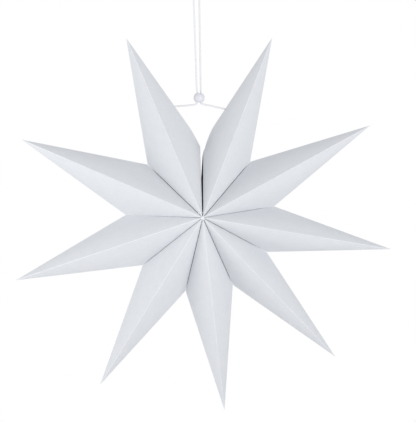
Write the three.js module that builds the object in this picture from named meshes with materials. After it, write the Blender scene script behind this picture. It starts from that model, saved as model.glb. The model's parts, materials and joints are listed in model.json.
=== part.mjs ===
// Hanging nine-armed paper star. Millimetres, +Z up, the front faces -Y.
// Each arm is a folded sheet with four flat panels: two in front and two at the back, with a
// sharp ridge between each pair and a crease along its outline. The arms are glued to each other
// along the valleys. The last valley, at the top, is an open seam that a looped cord draws shut.
// The origin is the inside of the cord loop's top, where the star is hung.
import * as THREE from 'three';

// Star
const ARM_OPENINGS = [45, 43, 41.5, 39, 37.2, 36.8, 36.1, 39.7, 39.9]; // degrees, counter-clockwise
const SEAM_SIDE_ANGLE = 90; // degrees, the open seam's left side; arm 1 starts here
const TIP_RADIUS = 225;
const NOTCH_RADIUS = 86.5;
const HALF_DEPTH = 65; // from the middle plane to the hub point in front, and to the one behind
const SHEET = 0.3;

// Clearances that keep a panel's plate off its creases and, half folded, off its neighbours
const RIDGE_INSET = 0.7;
const BACK_RIDGE_INSET = 2.5;
const OUTLINE_INSET = 0.35;
const VALLEY_INSET_AT_HUB = 0.6;
const VALLEY_INSET_AT_NOTCH = 5.4;
const SEAM_INSET = 0.45;

// Front ridge: the rounded edge of the folded sheet
const RIDGE_EDGE_DIAMETER = 0.66;
const RIDGE_EDGE_FROM_HUB = 2.6;
const RIDGE_EDGE_FROM_TIP = 2.5;
const RIDGE_EDGE_SIDES = 6;

// Turned-in flaps along the two sides of the open seam
const FLAP_WIDTH = 9;
const FLAP_INSET = 0.45;
const FLAP_FROM_HUB = 24;
const FLAP_TO_HUB_AT_INNER_EDGE = 33;
const FLAP_OFF_MIDDLE_PLANE = 0.5;

// Hanging cord, in the star's own frame (x right, y back, z up from the star's centre)
const CORD_DIAMETER = 2;
const HANGING_POINT = [-4.8, 0, 268];
const LOOP_ROUTE = [
  [-7.7, -1, 244.2], [-7.85, -1, 248.4], [-8, -1, 252.6], [-8.8, -0.9, 258], [-9.3, -0.7, 262.5],
  [-8, -0.4, 266.6], [-4.8, 0, 269], [-1.6, 0.4, 266.6], [-0.3, 0.7, 262.5], [-0.7, 0.9, 258],
  [-1.3, 1, 252.6], [-1.23, 1, 248.4], [-1.16, 1, 244.2],
];
const UPPER_STRAND_ROUTES = {
  left: [[-7.69, -1, 243.9], [-7.03, -1, 225], [-6.36, -1, 206.15]],
  right: [[-1.16, 1, 243.9], [-0.85, 1, 225], [-0.55, 1, 206.15]],
};
const LOWER_STRAND_ROUTES = {
  left: [
    [-6.34, -1, 205.85], [-5.2, -1, 174], [-4.5, -1, 153], [-4.05, -1, 147], [-3.3, -1, 142.8],
    [-2.5, -1, 139.6], [-2.45, -1, 136.6], [-2.95, -1, 134.2],
  ],
  right: [
    [-0.54, 1, 205.85], [0, 1, 174], [0.35, 1, 153], [0.6, 1, 147], [0.3, 1, 142.8],
    [-0.5, 1, 139.6], [-0.55, 1, 136.6], [-0.05, 1, 134.2],
  ],
};
const LEG_ROUTES = {
  left: [
    [-3.06, -1, 133.85], [-3.6, -1, 132.5], [-4.9, -1, 131], [-7.2, -0.9, 130.1],
    [-11, -0.8, 129.6], [-17, -0.5, 129], [-23, -0.2, 128.6], [-29.5, 0, 128.1], [-31.3, 0, 127.98],
  ],
  right: [
    [0.06, 1, 133.85], [0.6, 1, 132.5], [1.9, 1, 131.2], [4.2, 0.9, 130.5],
    [8, 0.8, 129.8], [15, 0.5, 128.3], [22, 0.2, 126.7], [28.3, 0, 125.3], [30.1, 0, 124.9],
  ],
};
const CORD_SIDES = 8;
const LOOP_STEPS = 28;
const UPPER_STRAND_STEPS = 8;
const LOWER_STRAND_STEPS = 20;
const LEG_STEPS = 16;
const HOLE_DIAMETER = 3.8;
const HOLE_STEPS = 8;
const HOLE_FROM_NOTCH = { left: 51, right: 46.5 }; // along the outline crease beside the seam
const KNOT_CENTRES = { left: [-33.8, 0, 127.8], right: [32.55, 0, 124.35] };
const KNOT_DIAMETER = 4.2;
const KNOT_SIDES = 12;

// Bead that grips both strands
const BEAD_CENTRE = [-1.5, 0, 138.3];
const BEAD_DIAMETER = 13;
const BEAD_BORE = 6;
const BEAD_MOUTH = 7.6;
const BEAD_SIDES = 32;
const BEAD_RINGS = 12;

const paper = () => new THREE.MeshStandardMaterial({ color: 0xdfe4ec, roughness: 0.9, metalness: 0 });
const cotton = () => new THREE.MeshStandardMaterial({ color: 0xf2f1ee, roughness: 0.95, metalness: 0 });
const lacquer = () => new THREE.MeshStandardMaterial({ color: 0xe9ebef, roughness: 0.4, metalness: 0 });

function named(name, geometry, material) {
  const mesh = new THREE.Mesh(geometry, material);
  mesh.name = name;
  return mesh;
}

// A point of the star's middle plane, from its radius and its angle in that plane
function starPoint(radius, degrees) {
  const angle = THREE.MathUtils.degToRad(degrees);
  return new THREE.Vector3(radius * Math.cos(angle), 0, radius * Math.sin(angle));
}

// Moves the edge from p to q to its left, by a different amount at each end
function insetEdge(p, q, atP, atQ) {
  const along = q.clone().sub(p).normalize();
  const left = new THREE.Vector2(-along.y, along.x);
  return [p.clone().addScaledVector(left, atP), q.clone().addScaledVector(left, atQ)];
}

function meet([p, q], [r, s]) {
  const first = q.clone().sub(p);
  const second = s.clone().sub(r);
  const share = r.clone().sub(p).cross(second) / first.cross(second);
  return p.clone().addScaledVector(first, share);
}

// Half-round cut-out, on an edge that runs along `along`, for a hole whose centre is on the crease
function addHalfHole(shape, centre, along, inset) {
  const radius = HOLE_DIAMETER / 2;
  const halfChord = Math.sqrt(radius ** 2 - inset ** 2);
  const edgeAngle = along.angle();
  const lean = Math.atan2(inset, halfChord);
  const start = edgeAngle + Math.PI - lean;
  const end = edgeAngle + lean;
  shape.lineTo(centre.x + radius * Math.cos(start), centre.y + radius * Math.sin(start));
  shape.absarc(centre.x, centre.y, radius, start, end, true);
}

// Flat plate. Its outline starts from `origin`, with x towards `ahead` and y on the side of `aside`
function plate(name, shape, origin, ahead, aside) {
  const x = ahead.clone().sub(origin).normalize();
  const z = x.clone().cross(aside.clone().sub(origin)).normalize();
  const y = z.clone().cross(x);
  const geometry = new THREE.ExtrudeGeometry(shape, {
    depth: SHEET, bevelEnabled: false, curveSegments: HOLE_STEPS,
  }).translate(0, 0, -SHEET / 2);
  const mesh = named(name, geometry, paper());
  mesh.quaternion.setFromRotationMatrix(new THREE.Matrix4().makeBasis(x, y, z));
  mesh.position.copy(origin);
  return mesh;
}

// One of an arm's four panels: the triangle from the hub point to the tip to the notch
function panel(name, { hub, tip, notch, ridgeInset, valleyInsets, holeFromNotch }) {
  const toTip = hub.distanceTo(tip);
  const toNotch = hub.distanceTo(notch);
  const spread = tip.clone().sub(hub).angleTo(notch.clone().sub(hub));
  const hub2 = new THREE.Vector2(0, 0);
  const tip2 = new THREE.Vector2(toTip, 0);
  const notch2 = new THREE.Vector2(toNotch * Math.cos(spread), toNotch * Math.sin(spread));
  const ridge = insetEdge(hub2, tip2, ridgeInset, ridgeInset);
  const outline = insetEdge(tip2, notch2, OUTLINE_INSET, OUTLINE_INSET);
  const valley = insetEdge(notch2, hub2, valleyInsets.notch, valleyInsets.hub);
  const corners = [meet(valley, ridge), meet(ridge, outline), meet(outline, valley)];
  const shape = new THREE.Shape();
  shape.moveTo(corners[0].x, corners[0].y);
  shape.lineTo(corners[1].x, corners[1].y);
  if (holeFromNotch) {
    const along = notch2.clone().sub(tip2).normalize();
    const centre = notch2.clone().addScaledVector(along, -holeFromNotch);
    addHalfHole(shape, centre, along, OUTLINE_INSET);
  }
  shape.lineTo(corners[2].x, corners[2].y);
  shape.closePath();
  return plate(name, shape, hub, tip, notch);
}

// The sheet's folded edge between an arm's two front panels
function ridgeEdge(name, hub, tip) {
  const length = hub.distanceTo(tip) - RIDGE_EDGE_FROM_HUB - RIDGE_EDGE_FROM_TIP;
  const along = tip.clone().sub(hub).normalize();
  const radius = RIDGE_EDGE_DIAMETER / 2;
  const mesh = named(name, new THREE.CylinderGeometry(radius, radius, length, RIDGE_EDGE_SIDES), paper());
  mesh.quaternion.setFromUnitVectors(new THREE.Vector3(0, 1, 0), along);
  mesh.position.copy(hub).addScaledVector(along, RIDGE_EDGE_FROM_HUB + length / 2);
  return mesh;
}

// Glue flap turned into the star along one side of the open seam, in the plane of the hub axis
function seamFlap(name, hub, notch) {
  const toNotch = hub.distanceTo(notch);
  const endAt = (inward) => (
    toNotch - (inward * NOTCH_RADIUS + FLAP_OFF_MIDDLE_PLANE * toNotch) / HALF_DEPTH
  );
  const shape = new THREE.Shape([
    new THREE.Vector2(FLAP_FROM_HUB, FLAP_INSET),
    new THREE.Vector2(endAt(FLAP_INSET), FLAP_INSET),
    new THREE.Vector2(endAt(FLAP_WIDTH), FLAP_WIDTH),
    new THREE.Vector2(FLAP_TO_HUB_AT_INNER_EDGE, FLAP_WIDTH),
  ]);
  return plate(name, shape, hub, notch, new THREE.Vector3(0, 0, 0));
}

function arm(number, start, opening) {
  const group = new THREE.Group();
  const last = ARM_OPENINGS.length;
  const tip = starPoint(TIP_RADIUS, start + opening / 2);
  const valleyInsets = { hub: VALLEY_INSET_AT_HUB, notch: VALLEY_INSET_AT_NOTCH };
  const seamInsets = { hub: SEAM_INSET, notch: SEAM_INSET };
  const sides = [
    { side: 'a', notch: starPoint(NOTCH_RADIUS, start), seam: number === 1 && 'left' },
    { side: 'b', notch: starPoint(NOTCH_RADIUS, start + opening), seam: number === last && 'right' },
  ];
  const faces = [
    { face: 'front', hub: new THREE.Vector3(0, -HALF_DEPTH, 0), ridgeInset: RIDGE_INSET },
    { face: 'back', hub: new THREE.Vector3(0, HALF_DEPTH, 0), ridgeInset: BACK_RIDGE_INSET },
  ];
  for (const { face, hub, ridgeInset } of faces) {
    for (const { side, notch, seam } of sides) {
      group.add(panel(`arm_${number}_${face}_${side}`, {
        hub, tip, notch, ridgeInset,
        valleyInsets: seam ? seamInsets : valleyInsets,
        holeFromNotch: seam && HOLE_FROM_NOTCH[seam],
      }));
      if (seam) group.add(seamFlap(`seam_flap_${face}_${seam}`, hub, notch));
    }
  }
  group.add(ridgeEdge(`arm_${number}_ridge`, faces[0].hub, tip));
  return group;
}

function cord(name, points, steps) {
  const section = new THREE.Shape();
  section.absarc(0, 0, CORD_DIAMETER / 2, 0, 2 * Math.PI);
  const extrudePath = new THREE.CatmullRomCurve3(points.map((p) => new THREE.Vector3(...p)));
  const curveSegments = CORD_SIDES / 2;
  return named(name, new THREE.ExtrudeGeometry(section, { steps, extrudePath, curveSegments }), cotton());
}

function knot(name, centre) {
  const ball = new THREE.SphereGeometry(KNOT_DIAMETER / 2, KNOT_SIDES, KNOT_SIDES / 2);
  const mesh = named(name, ball, cotton());
  mesh.position.set(...centre);
  return mesh;
}

// Ball with a straight bore and a wider mouth at each end of it
function bead() {
  const outer = BEAD_DIAMETER / 2;
  const bore = BEAD_BORE / 2;
  const rim = Math.acos(BEAD_MOUTH / BEAD_DIAMETER);
  const boreEnd = (outer * Math.sin(rim)) / 2;
  const profile = [new THREE.Vector2(bore, boreEnd), new THREE.Vector2(bore, -boreEnd)];
  for (let i = 0; i <= BEAD_RINGS; i += 1) {
    const angle = -rim + (2 * rim * i) / BEAD_RINGS;
    profile.push(new THREE.Vector2(outer * Math.cos(angle), outer * Math.sin(angle)));
  }
  profile.push(profile[0].clone());
  const mesh = named('bead', new THREE.LatheGeometry(profile, BEAD_SIDES), lacquer());
  mesh.rotation.x = Math.PI / 2;
  mesh.position.set(...BEAD_CENTRE);
  return mesh;
}

const star = new THREE.Group();
let start = SEAM_SIDE_ANGLE;
ARM_OPENINGS.forEach((opening, i) => {
  star.add(arm(i + 1, start, opening));
  start += opening;
});

star.add(cord('hanging_loop', LOOP_ROUTE, LOOP_STEPS));
for (const side of ['left', 'right']) {
  star.add(cord(`upper_strand_${side}`, UPPER_STRAND_ROUTES[side], UPPER_STRAND_STEPS));
  star.add(cord(`lower_strand_${side}`, LOWER_STRAND_ROUTES[side], LOWER_STRAND_STEPS));
  star.add(cord(`leg_${side}`, LEG_ROUTES[side], LEG_STEPS));
  star.add(knot(`knot_${side}`, KNOT_CENTRES[side]));
}
star.add(bead());
star.position.set(...HANGING_POINT).negate();

export default star;
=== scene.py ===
import json
import math
import random

import bpy
import numpy as np
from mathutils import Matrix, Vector, noise

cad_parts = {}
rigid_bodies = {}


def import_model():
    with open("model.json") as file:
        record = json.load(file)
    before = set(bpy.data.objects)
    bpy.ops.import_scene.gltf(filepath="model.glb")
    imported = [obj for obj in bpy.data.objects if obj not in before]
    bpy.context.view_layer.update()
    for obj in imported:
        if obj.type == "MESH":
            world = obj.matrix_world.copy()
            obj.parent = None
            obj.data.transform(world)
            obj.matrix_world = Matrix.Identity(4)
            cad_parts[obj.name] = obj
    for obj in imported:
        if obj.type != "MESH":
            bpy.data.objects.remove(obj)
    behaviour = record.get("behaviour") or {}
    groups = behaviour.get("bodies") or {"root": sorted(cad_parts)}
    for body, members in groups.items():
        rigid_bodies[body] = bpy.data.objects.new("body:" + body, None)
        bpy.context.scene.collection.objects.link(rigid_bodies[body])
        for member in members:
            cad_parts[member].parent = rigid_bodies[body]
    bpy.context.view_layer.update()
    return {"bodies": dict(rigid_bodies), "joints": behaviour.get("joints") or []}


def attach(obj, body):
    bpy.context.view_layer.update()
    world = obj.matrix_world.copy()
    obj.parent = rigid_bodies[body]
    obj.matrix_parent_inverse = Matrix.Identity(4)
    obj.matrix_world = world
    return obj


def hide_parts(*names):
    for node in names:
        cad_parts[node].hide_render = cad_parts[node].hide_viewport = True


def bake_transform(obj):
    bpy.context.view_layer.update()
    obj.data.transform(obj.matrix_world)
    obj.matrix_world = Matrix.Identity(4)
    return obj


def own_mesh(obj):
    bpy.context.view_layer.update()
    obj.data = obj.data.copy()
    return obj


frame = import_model()
JOINTS = {joint["name"]: joint for joint in frame["joints"]}

MM = 0.001

# Places that the frame gives
FRONT_HUB = np.array(JOINTS["seam_flap_front_left_fold"]["pos_m"])
BACK_HUB = np.array(JOINTS["seam_flap_back_left_fold"]["pos_m"])
CENTRE = (FRONT_HUB + BACK_HUB) / 2
HUB_AXIS = np.array((0.0, 1.0, 0.0))
HUBS = {"front": FRONT_HUB, "back": BACK_HUB}
ARMS = list(range(1, 1 + sum(name.endswith("_ridge") for name in frame["bodies"])))
SIDES = ("a", "b")

# Folded sheet
SHEET = 0.3 * MM
SWELL = 0.060            # how far a panel swells outwards, as a share of the distance from the hub
SWELL_SPREAD = (0.8, 1.2)
STAR_SEED = 9
SWELL_ENDS = 5           # the higher this power, the nearer the outline the swell dies away
PANEL_ROWS = 40
PANEL_COLUMNS = 26
RIPPLE = 0.16 * MM
RIPPLE_SCALE = 34        # ripples per metre
CREASE_RADIUS = 0.6 * MM
CREASE_SHEET = 0.12 * MM
CREASE_OVERLAP = 0.05 * MM
CREASE_PROUD = 0.015 * MM
CREASE_STEPS = 8
RIDGE_ROWS = 30
OUTLINE_ROWS = 24
CREASE_OFF_TIP = 0.8 * MM
CREASE_OFF_NOTCH = 0.4 * MM
RIDGE_OFF_HUB = 0.3 * MM
RIDGE_OFF_TIP = 1.4 * MM
RIDGE_INSET = 0.45 * MM
OUTLINE_INSET = 0.36 * MM
LIP_RADIUS = 0.4 * MM
LIP_DEPTH = 2.2 * MM
LIP_STEPS = 6
VALLEY_GAPS = [1.0, 0.6, 0.3, 0.35, 0.6, 0.6, 0.5, 0.25, 0.6, 1.0]  # mm, from the seam round to the seam
SEAM_BEND_RADIUS = 0.9 * MM
SEAM_BEND_STEPS = 10
FLAP_WIDTH = 9 * MM
FLAP_FROM_HUB = 24 * MM
FLAP_SLANT = 9 * MM
FLAP_OFF_NOTCH = 1.2 * MM
FLAP_TOP_SLANT = 1.4     # how much further back the flap's top is cut than the sheet needs
FLAP_ROWS = 24
FLAP_COLUMNS = 9
CORNER_SAG = {"left": (0.35, 0, -5.6), "right": (2.3, 0, -6.0)}  # mm, at each notch beside the seam
CORNER_REACH = 25 * MM   # from the notch
HOLE_DIAMETER = 3.8 * MM
DRILL_LENGTH = 8 * MM
DRILL_SIDES = 40
HOLE_FROM_NOTCH = {"left": 51 * MM, "right": 46.5 * MM}

# Cord, in millimetres from the star's centre
CORD_DIAMETER = 2.0
CORD_FULLNESS = 1.07     # the plies stand a little outside the cord's nominal radius
PLIES = 4
PLY_OFFSET = 0.31        # of the cord's radius
LAY_LENGTH = 7.5
RING_STEP = 0.45
RING_SIDES = 24
LOOP_ROUTE = [
    (-7.7, -1, 244.05), (-7.85, -1, 248.4), (-8, -1, 252.6), (-8.8, -0.9, 258), (-9.3, -0.7, 262.5),
    (-8, -0.4, 266.6), (-4.8, 0, 269), (-1.6, 0.4, 266.6), (-0.3, 0.7, 262.5), (-0.7, 0.9, 258),
    (-1.3, 1, 252.6), (-1.23, 1, 248.4), (-1.16, 1, 244.05),
]
UPPER_ROUTES = {
    "left": [(-7.7, -1, 244.05), (-7.03, -1, 225), (-6.35, -1, 206)],
    "right": [(-1.16, 1, 244.05), (-0.85, 1, 225), (-0.545, 1, 206)],
}
LOWER_ROUTES = {
    "left": [
        (-6.35, -1, 206), (-5.2, -1, 174), (-4.5, -1, 153), (-4.05, -1, 147), (-3.3, -1, 142.8),
        (-2.5, -1, 139.6), (-2.45, -1, 136.6), (-3, -1, 134.02),
    ],
    "right": [
        (-0.545, 1, 206), (0, 1, 174), (0.35, 1, 153), (0.6, 1, 147), (0.3, 1, 142.8),
        (-0.5, 1, 139.6), (-0.55, 1, 136.6), (0, 1, 134.02),
    ],
}
LEG_ROUTES = {
    "left": [
        (-3, -1, 134.02), (-3.6, -1, 132.5), (-4.9, -1, 131), (-7.2, -0.9, 130.1), (-11, -0.8, 129.6),
        (-17, -0.5, 129), (-23, -0.2, 128.6), (-29.5, 0, 128.1), (-33.4, 0, 127.85),
    ],
    "right": [
        (0, 1, 134.02), (0.6, 1, 132.5), (1.9, 1, 131.2), (4.2, 0.9, 130.5), (8, 0.8, 129.8),
        (15, 0.5, 128.3), (22, 0.2, 126.7), (28.3, 0, 125.3), (32.2, 0, 124.43),
    ],
}
UPPER_BENDS_OVER = 14
LOWER_BENDS_OVER = 14
LEG_BENDS_OVER = 7
KNOT_CENTRES = {"left": (-33.8, 0, 127.8), "right": (32.55, 0, 124.35)}

# Bead
BEAD_CENTRE = (-1.5, 0, 138.3)
BEAD_DIAMETER = 13.0
BEAD_BORE = 6.0
BEAD_MOUTH = 7.6
BEAD_LIP = 0.35
BEAD_RINGS = 32
BEAD_SIDES = 64

# Knots
KNOT_SIZE = 0.62 * MM
KNOT_TIGHTNESS = 0.72    # the cord's thickness in the knot, as a share of its own
KNOT_STEPS = 90

# Camera
CAMERA_AZIMUTH = math.radians(-2.5)
CAMERA_DISTANCE = 1.8
VIEW_HEIGHT = 0.4872     # metres that the picture's height covers at the star
SENSOR = 36.0
AIM = CENTRE + np.array((8.7, 0, 7.5)) * MM

# Studio
FLOOR_RADIUS = 0.75
FLOOR_HEIGHT = -0.62
WORLD_SEEN = 1.0
WORLD_LIGHT = 0.66
WORLD_TINT = (0.97, 0.98, 1.0, 1)
LIGHTS = {  # azimuth and elevation in degrees, distance and size in metres, power in watts
    "near_left": (-68, -6, 0.95, 0.8, 2.7),
    "key": (30, -10, 2.2, 1.6, 18.5),
    "back_fill": (170, 20, 2.4, 1.8, 14),
}


def unit(vector):
    return vector / np.linalg.norm(vector)


def across(direction, line):
    """The unit vector of a direction's part at right angles to a line."""
    return unit(direction - line * np.dot(direction, line))


# ---------------------------------------------------------------- materials

def new_material(name):
    material = bpy.data.materials.new(name)
    material.use_nodes = True
    nodes, links = material.node_tree.nodes, material.node_tree.links
    return material, nodes, links, nodes["Principled BSDF"]


def noise_at(nodes, links, vector, scale, detail=4.0, roughness=0.6):
    texture = nodes.new("ShaderNodeTexNoise")
    texture.inputs["Scale"].default_value = scale
    texture.inputs["Detail"].default_value = detail
    texture.inputs["Roughness"].default_value = roughness
    links.new(vector, texture.inputs["Vector"])
    return texture.outputs["Fac"]


def ramp_between(nodes, links, value, low, high, first, second):
    ramp = nodes.new("ShaderNodeValToRGB")
    ramp.color_ramp.elements[0].position = low
    ramp.color_ramp.elements[0].color = (*first, 1)
    ramp.color_ramp.elements[1].position = high
    ramp.color_ramp.elements[1].color = (*second, 1)
    links.new(value, ramp.inputs["Fac"])
    return ramp.outputs["Color"]


def mixed(nodes, links, factor, first, second, blend="MIX"):
    mix = nodes.new("ShaderNodeMix")
    mix.data_type = "RGBA"
    mix.blend_type = blend
    used = {socket.name: socket for socket in mix.inputs if socket.enabled}
    for name, value in (("Factor", factor), ("A", first), ("B", second)):
        target = used[name]
        if isinstance(value, (int, float)):
            target.default_value = value
        else:
            links.new(value, target)
    return next(s for s in mix.outputs if s.enabled)


def bumped(nodes, links, shader, height, distance, strength, under=None):
    bump = nodes.new("ShaderNodeBump")
    bump.inputs["Distance"].default_value = distance
    bump.inputs["Strength"].default_value = strength
    links.new(height, bump.inputs["Height"])
    if under is not None:
        links.new(under, bump.inputs["Normal"])
    links.new(bump.outputs["Normal"], shader.inputs["Normal"])
    return bump.outputs["Normal"]


def stretched(nodes, links, vector, scale, turn):
    mapping = nodes.new("ShaderNodeMapping")
    mapping.inputs["Scale"].default_value = scale
    mapping.inputs["Rotation"].default_value = turn
    links.new(vector, mapping.inputs["Vector"])
    return mapping.outputs["Vector"]


def roughened(nodes, links, shader, value, low, high):
    spread = nodes.new("ShaderNodeMapRange")
    spread.inputs["To Min"].default_value = low
    spread.inputs["To Max"].default_value = high
    links.new(value, spread.inputs["Value"])
    links.new(spread.outputs["Result"], shader.inputs["Roughness"])


def paper(name, pale, dark):
    """Matt card: cloudy pulp, short fibres lying two ways, and a fine tooth."""
    material, nodes, links, shader = new_material(name)
    place = nodes.new("ShaderNodeTexCoord").outputs["Object"]
    cloud = noise_at(nodes, links, place, 90)
    pulp = noise_at(nodes, links, place, 620)
    fibres_one = noise_at(nodes, links, stretched(nodes, links, place, (1, 1, 9), (0.5, 0.7, 0)), 420)
    fibres_two = noise_at(nodes, links, stretched(nodes, links, place, (9, 1, 1), (0, 0.6, 0.4)), 420)
    tone = ramp_between(nodes, links, cloud, 0.3, 0.7, dark, pale)
    flecks = ramp_between(nodes, links, pulp, 0.25, 0.55, (0.955, 0.957, 0.962), (1, 1, 1))
    threads = ramp_between(nodes, links, fibres_one, 0.3, 0.5, (0.965, 0.967, 0.972), (1, 1, 1))
    colour = mixed(nodes, links, 1.0, tone, flecks, "MULTIPLY")
    colour = mixed(nodes, links, 1.0, colour, threads, "MULTIPLY")
    links.new(colour, shader.inputs["Base Color"])
    roughened(nodes, links, shader, pulp, 0.78, 0.96)
    shader.inputs["Specular IOR Level"].default_value = 0.25
    first = bumped(nodes, links, shader, pulp, 0.06 * MM, 0.5)
    second = bumped(nodes, links, shader, fibres_one, 0.05 * MM, 0.5, first)
    bumped(nodes, links, shader, fibres_two, 0.05 * MM, 0.5, second)
    return material


def cotton():
    """Twisted cotton: soft fuzz over the plies and a random yarn tone."""
    material, nodes, links, shader = new_material("cotton_cord")
    place = nodes.new("ShaderNodeTexCoord").outputs["Object"]
    yarn = noise_at(nodes, links, place, 1500)
    fuzz = noise_at(nodes, links, stretched(nodes, links, place, (6, 6, 1), (0.3, 0.2, 0)), 900)
    tone = ramp_between(nodes, links, yarn, 0.3, 0.7, (0.87, 0.87, 0.89), (0.95, 0.948, 0.96))
    hairs = ramp_between(nodes, links, fuzz, 0.3, 0.6, (0.93, 0.93, 0.94), (1, 1, 1))
    links.new(mixed(nodes, links, 1.0, tone, hairs, "MULTIPLY"), shader.inputs["Base Color"])
    roughened(nodes, links, shader, fuzz, 0.85, 1.0)
    shader.inputs["Sheen Weight"].default_value = 0.25
    first = bumped(nodes, links, shader, yarn, 0.08 * MM, 0.6)
    bumped(nodes, links, shader, fuzz, 0.1 * MM, 0.6, first)
    return material


def lacquer():
    """Painted wood: smooth pale lacquer with faint turned rings showing through it."""
    material, nodes, links, shader = new_material("lacquered_bead")
    place = nodes.new("ShaderNodeTexCoord").outputs["Object"]
    rings = nodes.new("ShaderNodeTexWave")
    rings.wave_type = "RINGS"
    rings.rings_direction = "Z"
    rings.inputs["Scale"].default_value = 260
    rings.inputs["Distortion"].default_value = 0.6
    rings.inputs["Detail"].default_value = 1.0
    links.new(place, rings.inputs["Vector"])
    orange_peel = noise_at(nodes, links, place, 900, 2.0)
    lighter, darker = (0.83, 0.825, 0.87), (0.80, 0.795, 0.85)
    tone = ramp_between(nodes, links, rings.outputs["Fac"], 0.1, 0.9, darker, lighter)
    links.new(tone, shader.inputs["Base Color"])
    roughened(nodes, links, shader, orange_peel, 0.32, 0.45)
    shader.inputs["Coat Weight"].default_value = 0.35
    shader.inputs["Coat Roughness"].default_value = 0.22
    first = bumped(nodes, links, shader, rings.outputs["Fac"], 0.01 * MM, 0.15)
    bumped(nodes, links, shader, orange_peel, 0.03 * MM, 0.3, first)
    return material


def backdrop_white():
    material, nodes, links, shader = new_material("studio_white")
    place = nodes.new("ShaderNodeTexCoord").outputs["Object"]
    tone = ramp_between(nodes, links, noise_at(nodes, links, place, 3), 0.3, 0.7, (0.90,) * 3, (0.93,) * 3)
    links.new(tone, shader.inputs["Base Color"])
    shader.inputs["Roughness"].default_value = 0.9
    return material


PAPER = paper("folded_paper", (0.806, 0.820, 0.842), (0.784, 0.800, 0.826))
# Painted shade: the card's inner faces are painted dark grey so the valley gaps and the open seam look
# dark, though the card is white on both sides.
PAINTED_SHADE_INSIDE = paper("paper_inside_painted_shade", (0.40, 0.41, 0.43), (0.36, 0.37, 0.39))
# Painted highlight: the rounded creases are painted much paler than the sheets, standing in for the light
# that their crests catch.
PAINTED_CREASE_HIGHLIGHT = paper("crease_painted_highlight", (0.950, 0.957, 0.970), (0.920, 0.932, 0.950))
COTTON = cotton()
LACQUER = lacquer()


# ---------------------------------------------------------------- meshes

def mesh_object(name, vertices, faces, material, smooth_under=35):
    mesh = bpy.data.meshes.new(name)
    mesh.from_pydata([tuple(v) for v in vertices], [], faces)
    mesh.materials.append(material)
    mesh.polygons.foreach_set("use_smooth", [True] * len(mesh.polygons))
    mesh.set_sharp_from_angle(angle=math.radians(smooth_under))
    mesh.update()
    piece = bpy.data.objects.new(name, mesh)
    bpy.context.scene.collection.objects.link(piece)
    return piece


def grid_normals(grid, out):
    along = np.gradient(grid, axis=0)
    aside = np.gradient(grid, axis=1)
    normals = np.cross(along, aside)
    normals /= np.linalg.norm(normals, axis=2, keepdims=True)
    if np.sum(normals[:, normals.shape[1] // 2] @ out) < 0:
        normals = -normals
    return normals


def sheet_object(name, grid, out, material=PAPER, thickness=SHEET):
    """A closed thin sheet whose outer face is the grid of points and whose thickness goes inwards."""
    rows, columns = grid.shape[:2]
    inner = grid - grid_normals(grid, out) * thickness
    vertices = np.concatenate([grid.reshape(-1, 3), inner.reshape(-1, 3)])
    size = rows * columns
    middle = columns // 2
    along = grid[1, middle] - grid[0, middle]
    aside = grid[0, middle + 1] - grid[0, middle]
    flip = np.dot(np.cross(along, aside), out) < 0
    faces = []

    def add(a, b, c, d):
        faces.append((a, d, c, b) if flip else (a, b, c, d))

    for i in range(rows - 1):
        for j in range(columns - 1):
            a, b = i * columns + j, (i + 1) * columns + j
            add(a, b, b + 1, a + 1)
            add(size + a, size + a + 1, size + b + 1, size + b)
        left, right = i * columns, (i + 1) * columns - 1
        add(left, size + left, size + left + columns, left + columns)
        add(right, right + columns, size + right + columns, size + right)
    for j in range(columns - 1):
        last = (rows - 1) * columns + j
        add(j, j + 1, size + j + 1, size + j)
        add(last, size + last, size + last + 1, last + 1)
    piece = mesh_object(name, vertices, faces, material)
    # A paper sheet's inner faces take the dark painted-shade paper.
    if material is PAPER:
        piece.data.materials.append(PAINTED_SHADE_INSIDE)
        for face in piece.data.polygons:
            face.material_index = int(min(face.vertices) >= size)
    return piece


# ---------------------------------------------------------------- the folded sheets

def sagged(points, notch, seam):
    """Points near the notch beside the open seam, pulled down smoothly by the cord."""
    if not seam:
        return points
    distance = np.linalg.norm(points - notch, axis=-1, keepdims=True)
    share = np.clip(1 - distance / CORNER_REACH, 0, 1) ** 2
    return points + share * np.array(CORNER_SAG[seam]) * MM


def crossing(p, along_p, q, along_q):
    """Where two lines meet, each given by a point and a direction."""
    steps = np.linalg.lstsq(np.column_stack([along_p, -along_q]), q - p, rcond=None)[0]
    return p + along_p * steps[0]


def seam_side(arm, side):
    """Which edge of the open seam a panel has, if any."""
    return {(1, "a"): "left", (ARMS[-1], "b"): "right"}.get((arm, side))


def arm_corners(arm):
    """An arm's tip, and its notch on each side."""
    outlines = [JOINTS[f"arm_{arm}_outline_{side}_fold"] for side in SIDES]
    notches = [np.array(joint["pos_m"]) for joint in outlines]
    slopes = [np.array(joint["axis"]) for joint in outlines]
    tip = crossing(notches[0], slopes[0], notches[1], slopes[1])
    return tip, dict(zip(SIDES, notches))


def panel_facts(arm, face, side):
    """A panel's corners, the directions of its edges and its height above each edge."""
    tip, notches = arm_corners(arm)
    hub, notch = HUBS[face], notches[side]
    out = unit(np.cross(tip - hub, notch - hub))
    if np.dot(out, hub - CENTRE) < 0:
        out = -out
    ridge, valley, outline = unit(tip - hub), unit(notch - hub), unit(notch - tip)
    return {
        "arm": arm, "face": face, "side": side, "hub": hub, "tip": tip, "notch": notch, "out": out,
        "ridge": ridge, "valley": valley, "outline": outline,
        "from_ridge": np.linalg.norm(np.cross(notch - hub, ridge)),
        "from_valley": np.linalg.norm(np.cross(tip - hub, valley)),
        "from_outline": np.linalg.norm(np.cross(hub - tip, outline)),
        "towards_valley": across(notch - tip, valley),
        "inwards": across(HUB_AXIS * (1 if face == "front" else -1), valley),
    }


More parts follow.
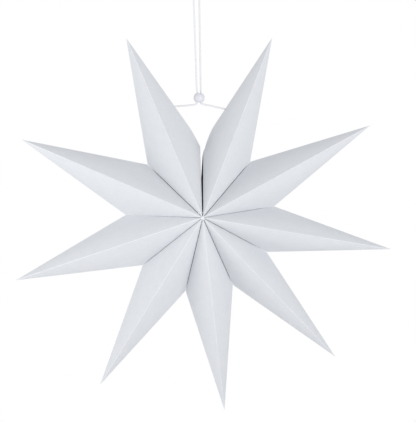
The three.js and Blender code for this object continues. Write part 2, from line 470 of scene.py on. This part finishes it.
def lip_rows(edge, before, facts, radius, depth=0, steps=LIP_STEPS):
    """Turns a panel's edge inwards round a small radius until it lies along the valley's own plane."""
    towards, out = facts["towards_valley"], facts["out"]
    step = edge - before
    start = np.arctan2(-(step @ out), step @ towards)[:, None]
    end = math.acos(np.clip(np.dot(towards, facts["inwards"]), -1, 1))
    rows = []
    for k in range(1, steps + 1):
        turn = start + (end - start) * k / steps
        rows.append(edge + radius * (
            (np.sin(turn) - np.sin(start)) * towards - (np.cos(start) - np.cos(turn)) * out
        ))
    if depth:
        rows += [rows[-1] + facts["inwards"] * depth * share for share in (0.5, 1.0)]
    return np.stack(rows, axis=1)


def panel_grid(facts, swell, seed):
    """The panel's outer face. Rows run from the hub to the outline, columns from ridge to valley."""
    hub, tip, notch, out = (facts[key] for key in ("hub", "tip", "notch", "out"))
    turn = math.acos(np.clip(np.dot(facts["towards_valley"], facts["inwards"]), -1, 1))
    seam = seam_side(facts["arm"], facts["side"])
    bend = SEAM_BEND_RADIUS if seam else LIP_RADIUS
    gap = VALLEY_GAPS[facts["arm"] - (facts["side"] == "a")] * MM
    valley_inset = bend * math.tan(turn / 2) + gap / 2 / math.sin(turn)
    nearest = 1.25 * (RIDGE_INSET / facts["from_ridge"] + valley_inset / facts["from_valley"])
    furthest = 1 - OUTLINE_INSET / facts["from_outline"]
    steps = np.linspace(0, 1, PANEL_ROWS)
    reach = nearest + (furthest - nearest) * (1 - (1 - steps) ** 1.7)
    low = RIDGE_INSET / (reach * facts["from_ridge"])
    high = 1 - valley_inset / (reach * facts["from_valley"])
    share = np.linspace(0, 1, PANEL_COLUMNS) ** 0.9
    spread = low[:, None] + (high - low)[:, None] * share[None, :]
    far = (tip - hub) * (1 - spread[..., None]) + (notch - hub) * spread[..., None]
    flat = hub + reach[:, None, None] * far
    length = np.linalg.norm(flat - hub, axis=2)
    crown = (spread - spread ** 4) * (1 - reach[:, None] ** SWELL_ENDS)
    ripple = np.array([[
        noise.noise(Vector(p * RIPPLE_SCALE) + Vector((seed, 0, 0))) for p in row
    ] for row in flat])
    fade = np.clip(4 * spread * (1 - spread), 0, 1) * (1 - reach[:, None] ** SWELL_ENDS)
    lift = crown * swell * length + ripple * RIPPLE * fade
    return sagged(flat + lift[..., None] * out, notch, seam), bend


def cut_hole(piece, centre, direction):
    bpy.ops.mesh.primitive_cylinder_add(
        radius=HOLE_DIAMETER / 2, depth=DRILL_LENGTH, vertices=DRILL_SIDES, location=centre,
        rotation=Vector(direction).to_track_quat("Z", "Y").to_euler(),
    )
    drill = bpy.context.object
    modifier = piece.modifiers.new("hole", "BOOLEAN")
    modifier.object = drill
    modifier.solver = "EXACT"
    bpy.context.view_layer.update()
    cut = bpy.data.meshes.new_from_object(piece.evaluated_get(bpy.context.evaluated_depsgraph_get()))
    piece.modifiers.remove(modifier)
    piece.data = cut
    bpy.data.objects.remove(drill)


def hole_centre(facts, seam):
    return facts["notch"] - facts["outline"] * HOLE_FROM_NOTCH[seam]


def panel(facts, swell, seed):
    """One panel's sheet, with a turned-in lip at a glued valley, or a hole, bend and flap at the seam."""
    arm, face, side = facts["arm"], facts["face"], facts["side"]
    body = f"arm_{arm}_{face}_{side}"
    seam = seam_side(arm, side)
    grid, bend = panel_grid(facts, swell, seed)
    edge, before = grid[:, -1], grid[:, -2]
    if not seam:
        lip = lip_rows(edge, before, facts, bend, LIP_DEPTH)
        grid = np.concatenate([grid, lip], axis=1)
    piece = sheet_object(f"{body}_sheet", grid, facts["out"])
    if seam:
        cut_hole(piece, hole_centre(facts, seam), facts["out"])
        seam_bend(facts, edge, before, seam)
        seam_flap(facts, edge, before, seam)
    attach(piece, body)
    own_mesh(piece)
    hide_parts(body)
    return piece


def seam_bend(facts, edge, before, seam):
    """The rounded fold between a panel beside the open seam and its turned-in flap."""
    bent = lip_rows(edge, before, facts, SEAM_BEND_RADIUS, steps=SEAM_BEND_STEPS)
    rows = np.concatenate([edge[:, None], bent], axis=1)
    flap = f"seam_flap_{facts['face']}_{seam}"
    # The bend is painted pale, a painted highlight along the fold.
    piece = sheet_object(f"{flap}_bend", rows, facts["out"], PAINTED_CREASE_HIGHLIGHT, CREASE_SHEET)
    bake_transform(piece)


def seam_flap(facts, edge, before, seam):
    """The flap turned in along the seam, cut slanting at both ends."""
    name = f"seam_flap_{facts['face']}_{seam}"
    bent = lip_rows(edge, before, facts, SEAM_BEND_RADIUS, steps=SEAM_BEND_STEPS)[:, -1]
    distance = np.linalg.norm(bent - facts["hub"], axis=1)
    last = distance[-1] - FLAP_OFF_NOTCH
    lean = abs(np.dot(facts["valley"], HUB_AXIS))
    columns = []
    for share in np.linspace(0, 1, FLAP_COLUMNS):
        first = FLAP_FROM_HUB + FLAP_SLANT * share
        at = np.linspace(first, last - share * FLAP_WIDTH * lean * FLAP_TOP_SLANT, FLAP_ROWS)
        base = np.stack([np.interp(at, distance, bent[:, k]) for k in range(3)], axis=1)
        columns.append(base + facts["inwards"] * FLAP_WIDTH * share)
    grid = np.stack(columns, axis=1)
    side_out = across(facts["notch"] - facts["tip"], facts["valley"])
    piece = sheet_object(f"{name}_sheet", grid, side_out)
    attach(piece, name)
    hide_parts(name)


def crease_strip(name, starts, ends, first, second, rows, reshape=None):
    """A small rounded strip along a crease. first and second each hold the direction that leads from
    the crease into a sheet, and that sheet's outward direction."""
    (into_one, out_one), (into_two, out_two) = first, second
    middle = unit(out_one + out_two)
    half = math.acos(np.clip(np.dot(middle, out_one), -1, 1))
    tangent = CREASE_RADIUS * math.tan(half)
    below = middle * CREASE_RADIUS / math.cos(half)
    section = [into_one * (tangent + CREASE_OVERLAP)]
    for share in np.linspace(0, 1, CREASE_STEPS + 1):
        turned = unit(out_one * math.sin((1 - share) * 2 * half) + out_two * math.sin(share * 2 * half))
        section.append(turned * CREASE_RADIUS - below)
    section.append(into_two * (tangent + CREASE_OVERLAP))
    lines = np.linspace(starts, ends, rows)
    grid = lines[:, None, :] + np.stack(section)[None] + middle * CREASE_PROUD
    if reshape:
        grid = reshape(grid)
    # The strip is painted pale, a painted highlight along the crease.
    return sheet_object(name, grid, middle, PAINTED_CREASE_HIGHLIGHT, CREASE_SHEET)


def ridge_crease(arm, face):
    tip, _ = arm_corners(arm)
    hub = HUBS[face]
    along = unit(tip - hub)
    pairs = []
    for side in SIDES:
        facts = panel_facts(arm, face, side)
        pairs.append((across(facts["notch"] - hub, along), facts["out"]))
    starts, ends = hub + along * RIDGE_OFF_HUB, tip - along * RIDGE_OFF_TIP
    piece = crease_strip(f"arm_{arm}_{face}_ridge_crease", starts, ends, *pairs, rows=RIDGE_ROWS)
    if face == "front":
        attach(piece, f"arm_{arm}_ridge")
        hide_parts(f"arm_{arm}_ridge")
    else:
        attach(piece, f"arm_{arm}_back_a")


def outline_crease(arm, side):
    front, back = (panel_facts(arm, face, side) for face in ("front", "back"))
    line = front["outline"]
    pairs = [(across(facts["hub"] - facts["tip"], line), facts["out"]) for facts in (front, back)]
    length = np.linalg.norm(front["notch"] - front["tip"])
    seam = seam_side(arm, side)
    last = length - CREASE_OFF_NOTCH
    stretches = [(CREASE_OFF_TIP, last)]
    if seam:
        hole = length - HOLE_FROM_NOTCH[seam]
        corner = length - CORNER_REACH
        stretches = [(CREASE_OFF_TIP, hole - HOLE_DIAMETER / 2), (hole + HOLE_DIAMETER / 2, corner)]
        name = f"arm_{arm}_outline_{side}_corner_crease"
        starts, ends = front["tip"] + line * (corner - CREASE_OVERLAP), front["tip"] + line * last
        piece = crease_strip(
            name, starts, ends, *pairs, rows=OUTLINE_ROWS,
            reshape=lambda grid: sagged(grid, front["notch"], seam),
        )
        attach(piece, f"arm_{arm}_front_{side}")
        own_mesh(piece)
    for number, (low, high) in enumerate(stretches, 1):
        name = f"arm_{arm}_outline_{side}_crease" + (f"_{number}" if seam else "")
        starts, ends = front["tip"] + line * low, front["tip"] + line * high
        piece = crease_strip(name, starts, ends, *pairs, rows=OUTLINE_ROWS)
        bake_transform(piece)


def build_star():
    spread = random.Random(STAR_SEED)
    for arm in ARMS:
        for side in SIDES:
            swell = SWELL * spread.uniform(*SWELL_SPREAD)
            for face in HUBS:
                panel(panel_facts(arm, face, side), swell, spread.uniform(0, 50))
            outline_crease(arm, side)
        for face in HUBS:
            ridge_crease(arm, face)


# ---------------------------------------------------------------- cord, knots and bead

def placed(point):
    return CENTRE + np.array(point, float) * MM


def smooth_route(points, step=RING_STEP * MM):
    """Points a small even step apart on the Catmull-Rom curve through a route."""
    knots = np.array([placed(p) for p in points])
    ends = np.concatenate([[2 * knots[0] - knots[1]], knots, [2 * knots[-1] - knots[-2]]])
    fine = []
    for p0, p1, p2, p3 in zip(ends, ends[1:], ends[2:], ends[3:]):
        d0, d1, d2 = (max(np.linalg.norm(b - a), 1e-9) ** 0.5 for a, b in ((p0, p1), (p1, p2), (p2, p3)))
        m1 = ((p1 - p0) / d0 - (p2 - p0) / (d0 + d1) + (p2 - p1) / d1) * d1
        m2 = ((p2 - p1) / d1 - (p3 - p1) / (d1 + d2) + (p3 - p2) / d2) * d1
        for t in np.linspace(0, 1, 24, endpoint=False):
            fine.append(
                (2 * t ** 3 - 3 * t * t + 1) * p1 + (t ** 3 - 2 * t * t + t) * m1
                + (3 * t * t - 2 * t ** 3) * p2 + (t ** 3 - t * t) * m2
            )
    fine = np.array(fine + [knots[-1]])
    run = np.concatenate([[0], np.cumsum(np.linalg.norm(np.diff(fine, axis=0), axis=1))])
    at = np.linspace(0, run[-1], max(8, round(run[-1] / step) + 1))
    return np.stack([np.interp(at, run, fine[:, k]) for k in range(3)], axis=1)


def ply_radius(angle):
    """The outline of plies lying side by side, as a share of the cord's radius."""
    apart = 2 * math.pi / PLIES
    off = (angle + apart / 2) % apart - apart / 2
    ply = 1 - PLY_OFFSET
    return PLY_OFFSET * math.cos(off) + math.sqrt(ply ** 2 - (PLY_OFFSET * math.sin(off)) ** 2)


def tube(path, radius, closed=False):
    """Vertices and faces of a twisted cord along a path."""
    tangents = np.gradient(path, axis=0)
    tangents /= np.linalg.norm(tangents, axis=1, keepdims=True)
    side = across(np.array((0.31, 0.93, 0.2)), tangents[0])
    run, vertices, faces = 0.0, [], []
    for i, (centre, tangent) in enumerate(zip(path, tangents)):
        side = across(side, tangent)
        other = np.cross(tangent, side)
        if i:
            run += np.linalg.norm(centre - path[i - 1])
        twist = 2 * math.pi * run / (LAY_LENGTH * MM)
        for k in range(RING_SIDES):
            angle = 2 * math.pi * k / RING_SIDES
            reach = radius * ply_radius(angle - twist)
            vertices.append(centre + reach * (math.cos(angle) * side + math.sin(angle) * other))
    rings = len(path)
    for i in range(rings if closed else rings - 1):
        low, high = i * RING_SIDES, (i + 1) % rings * RING_SIDES
        for k in range(RING_SIDES):
            turn = (k + 1) % RING_SIDES
            faces.append((low + k, low + turn, high + turn, high + k))
    if not closed:
        faces.append(tuple(reversed(range(RING_SIDES))))
        faces.append(tuple(range((rings - 1) * RING_SIDES, rings * RING_SIDES)))
    return vertices, faces


def cord_piece(name, route, far_end, lay, with_pieces=(), extra=()):
    path = smooth_route(route)
    vertices, faces = tube(path, CORD_FULLNESS * CORD_DIAMETER / 2 * MM)
    piece = mesh_object(name, vertices, faces, COTTON, 70)
    return piece, path


def blended_cord(node, route, over, upper_body, lower_body, **facts):
    piece, path = cord_piece(f"{node}_cord", route, **facts)
    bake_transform(piece)
    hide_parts(node)
    return piece


def knot(side):
    """An overhand knot that stops the cord inside the arm."""
    turns = np.linspace(0, 2 * math.pi, KNOT_STEPS, endpoint=False)
    path = np.stack([
        np.sin(turns) + 2 * np.sin(2 * turns),
        -np.sin(3 * turns) * 1.15,
        np.cos(turns) - 2 * np.cos(2 * turns),
    ], axis=1) * KNOT_SIZE + placed(KNOT_CENTRES[side])
    vertices, faces = tube(path, KNOT_TIGHTNESS * CORD_DIAMETER / 2 * MM, closed=True)
    piece = mesh_object(f"knot_{side}_twists", vertices, faces, COTTON, 70)
    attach(piece, f"leg_{side}")
    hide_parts(f"knot_{side}")
    return piece


def bead():
    """Turned outline of the bead: bore, flared mouths and a round outside."""
    outer, bore, mouth = BEAD_DIAMETER / 2, BEAD_BORE / 2, BEAD_MOUTH / 2
    rim = math.acos((mouth + BEAD_LIP) / outer)
    top = outer * math.sin(rim)
    profile = [(bore, -top / 2), (bore, 0), (bore, top / 2), (bore + 0.25, top * 0.86)]
    profile += [(mouth - 0.15, top * 0.98), (mouth + BEAD_LIP * 0.5, top * 1.012)]
    for k in range(BEAD_RINGS + 1):
        angle = rim - 2 * rim * k / BEAD_RINGS
        profile.append((outer * math.cos(angle), outer * math.sin(angle)))
    profile += [
        (mouth + BEAD_LIP * 0.5, -top * 1.012), (mouth - 0.15, -top * 0.98), (bore + 0.25, -top * 0.86),
    ]
    vertices, faces = [], []
    for k in range(BEAD_SIDES):
        angle = 2 * math.pi * k / BEAD_SIDES
        for radius, height in profile:
            vertices.append(placed(BEAD_CENTRE) + np.array(
                (radius * math.cos(angle), radius * math.sin(angle), height)) * MM)
    count = len(profile)
    for k in range(BEAD_SIDES):
        here, there = k * count, (k + 1) % BEAD_SIDES * count
        for j in range(count):
            nxt = (j + 1) % count
            faces.append((here + j, here + nxt, there + nxt, there + j))
    piece = mesh_object("bead_turned", vertices, faces, LACQUER, 60)
    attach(piece, "bead")
    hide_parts("bead")
    return piece


def build_cord():
    loop, _ = cord_piece("hanging_loop_cord", LOOP_ROUTE, "object", "hanging")
    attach(loop, "hanger")
    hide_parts("hanging_loop")
    ball = bead()
    for side in ("left", "right"):
        upper, lower, leg = (f"{part}_{side}" for part in ("upper_strand", "lower_strand", "leg"))
        blended_cord(
            upper, UPPER_ROUTES[side], UPPER_BENDS_OVER, "hanger", upper, far_end="object", lay="taut",
        )
        blended_cord(
            lower, LOWER_ROUTES[side], LOWER_BENDS_OVER, upper, lower, far_end="object", lay="taut",
            with_pieces=[ball] if side == "left" else [],
        )
        blended_cord(
            leg, LEG_ROUTES[side], LEG_BENDS_OVER, lower, leg, far_end="knot", lay="taut",
            with_pieces=[knot(side)],
        )


# ---------------------------------------------------------------- camera, floor and light

def build_camera():
    data = bpy.data.cameras.new("camera")
    data.sensor_fit = "AUTO"
    data.sensor_width = SENSOR
    data.lens = SENSOR * CAMERA_DISTANCE / VIEW_HEIGHT
    camera = bpy.data.objects.new("camera", data)
    back = Vector((math.sin(CAMERA_AZIMUTH), -math.cos(CAMERA_AZIMUTH), 0))
    camera.location = Vector(AIM) + back * CAMERA_DISTANCE
    camera.rotation_euler = (-back).to_track_quat("-Z", "Y").to_euler()
    bpy.context.scene.collection.objects.link(camera)
    bpy.context.scene.camera = camera


def build_floor():
    bpy.ops.mesh.primitive_circle_add(
        radius=FLOOR_RADIUS, vertices=96, fill_type="NGON", location=(CENTRE[0], CENTRE[1], FLOOR_HEIGHT),
    )
    floor = bpy.context.object
    floor.name = "floor"
    floor.data.materials.append(backdrop_white())


def area_light(name, azimuth, elevation, distance, size, power):
    data = bpy.data.lights.new(name, "AREA")
    data.size = size
    data.energy = power
    light = bpy.data.objects.new(name, data)
    a, e = math.radians(azimuth), math.radians(elevation)
    back = Vector((math.sin(a) * math.cos(e), -math.cos(a) * math.cos(e), math.sin(e)))
    light.location = Vector(CENTRE) + back * distance
    light.rotation_euler = (-back).to_track_quat("-Z", "Y").to_euler()
    bpy.context.scene.collection.objects.link(light)


def build_world():
    """White all round for the camera, and a softer white for the light that falls on the star."""
    world = bpy.data.worlds.new("studio")
    world.use_nodes = True
    nodes, links = world.node_tree.nodes, world.node_tree.links
    nodes.clear()
    seen, lit = nodes.new("ShaderNodeBackground"), nodes.new("ShaderNodeBackground")
    seen.inputs["Color"].default_value = (1, 1, 1, 1)
    seen.inputs["Strength"].default_value = WORLD_SEEN
    lit.inputs["Color"].default_value = WORLD_TINT
    lit.inputs["Strength"].default_value = WORLD_LIGHT
    mix, path = nodes.new("ShaderNodeMixShader"), nodes.new("ShaderNodeLightPath")
    links.new(path.outputs["Is Camera Ray"], mix.inputs["Fac"])
    links.new(lit.outputs["Background"], mix.inputs[1])
    links.new(seen.outputs["Background"], mix.inputs[2])
    links.new(mix.outputs["Shader"], nodes.new("ShaderNodeOutputWorld").inputs["Surface"])
    bpy.context.scene.world = world
    bpy.context.scene.view_settings.view_transform = "Standard"


build_camera()
build_cord()
build_star()
build_floor()
build_world()
for light_name, light_values in LIGHTS.items():
    area_light(light_name, *light_values)
